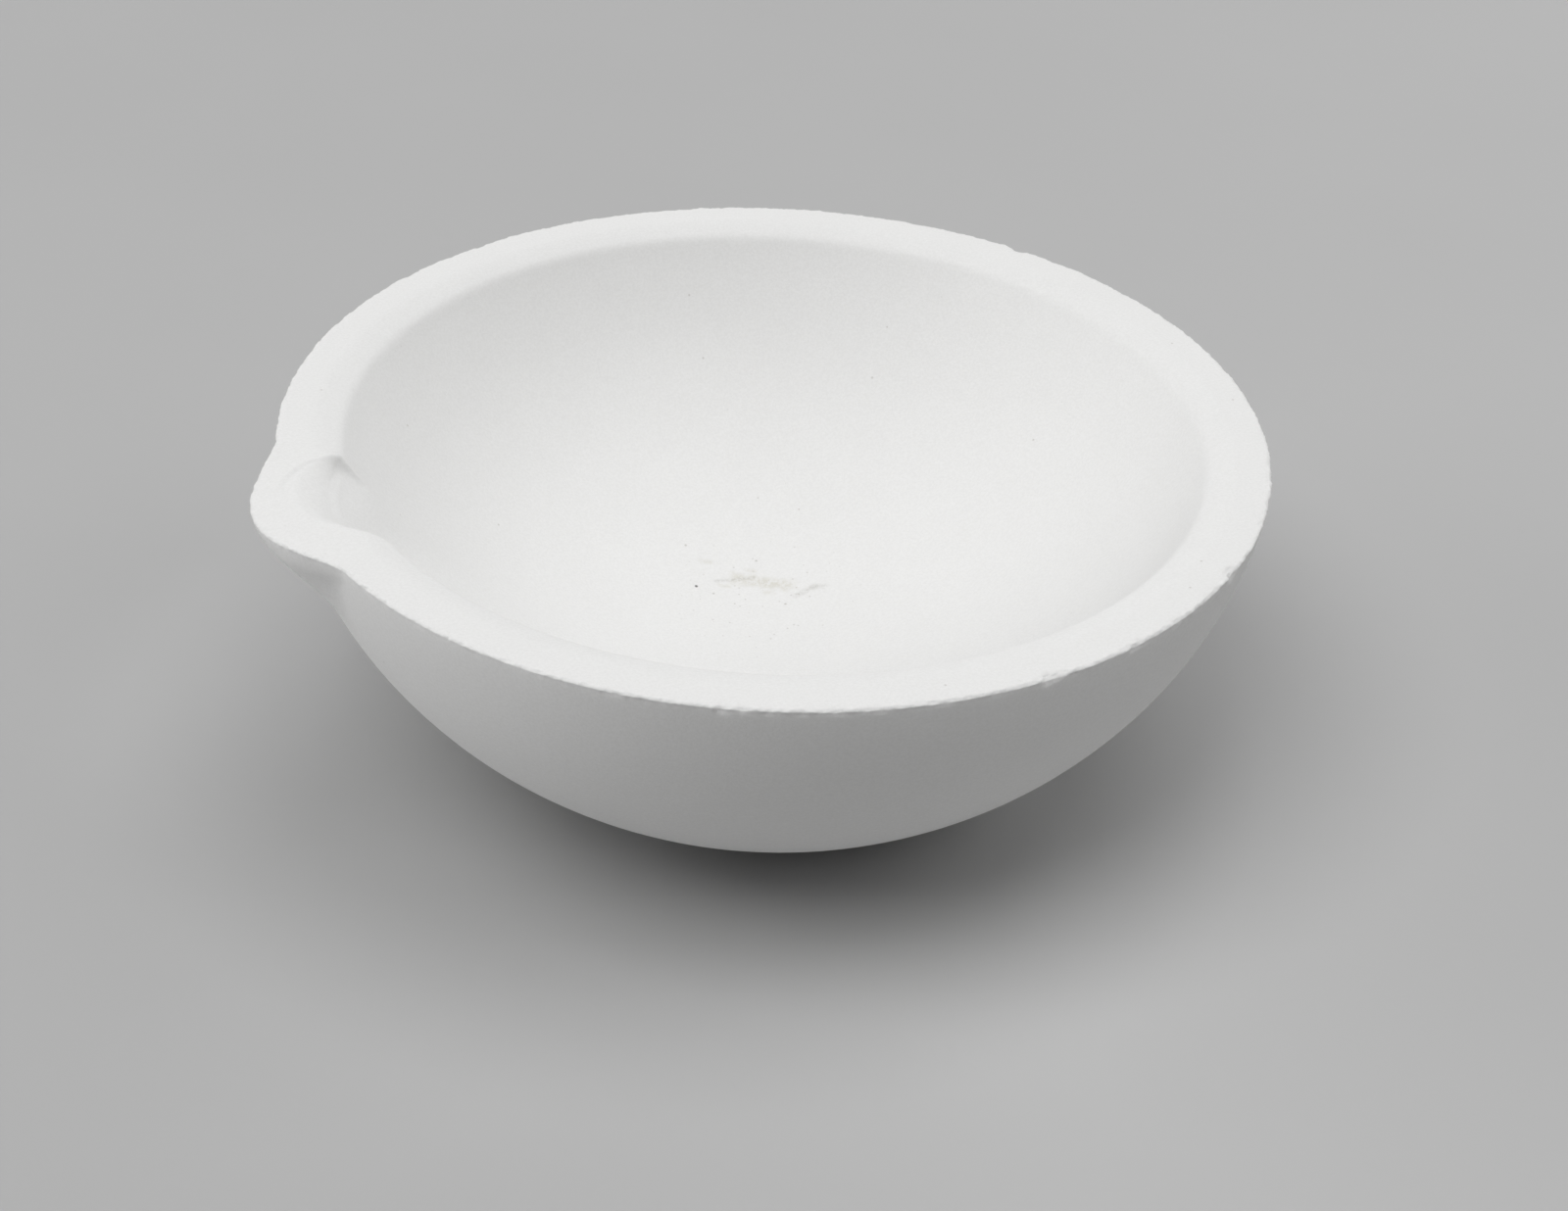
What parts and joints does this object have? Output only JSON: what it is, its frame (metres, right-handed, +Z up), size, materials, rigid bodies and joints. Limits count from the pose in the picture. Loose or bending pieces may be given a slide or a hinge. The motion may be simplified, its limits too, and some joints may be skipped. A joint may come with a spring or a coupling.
{
  "type": "evaporating dish",
  "caption": "Thick-walled round white ceramic evaporating dish with a flat rim, a small flat foot and one pinched pouring spout.",
  "frame": {"origin": "centre of the flat foot's underside, on the dish's own axis", "axes": "+Z up out of the bowl, +X from the axis towards the pouring spout"},
  "size_m": [0.1037, 0.1, 0.0375],
  "materials": {
    "ceramic": "matt unglazed fine grain"
  },
  "bodies": {
    "root": {"dish": "ceramic"}
  },
  "joints": []
}
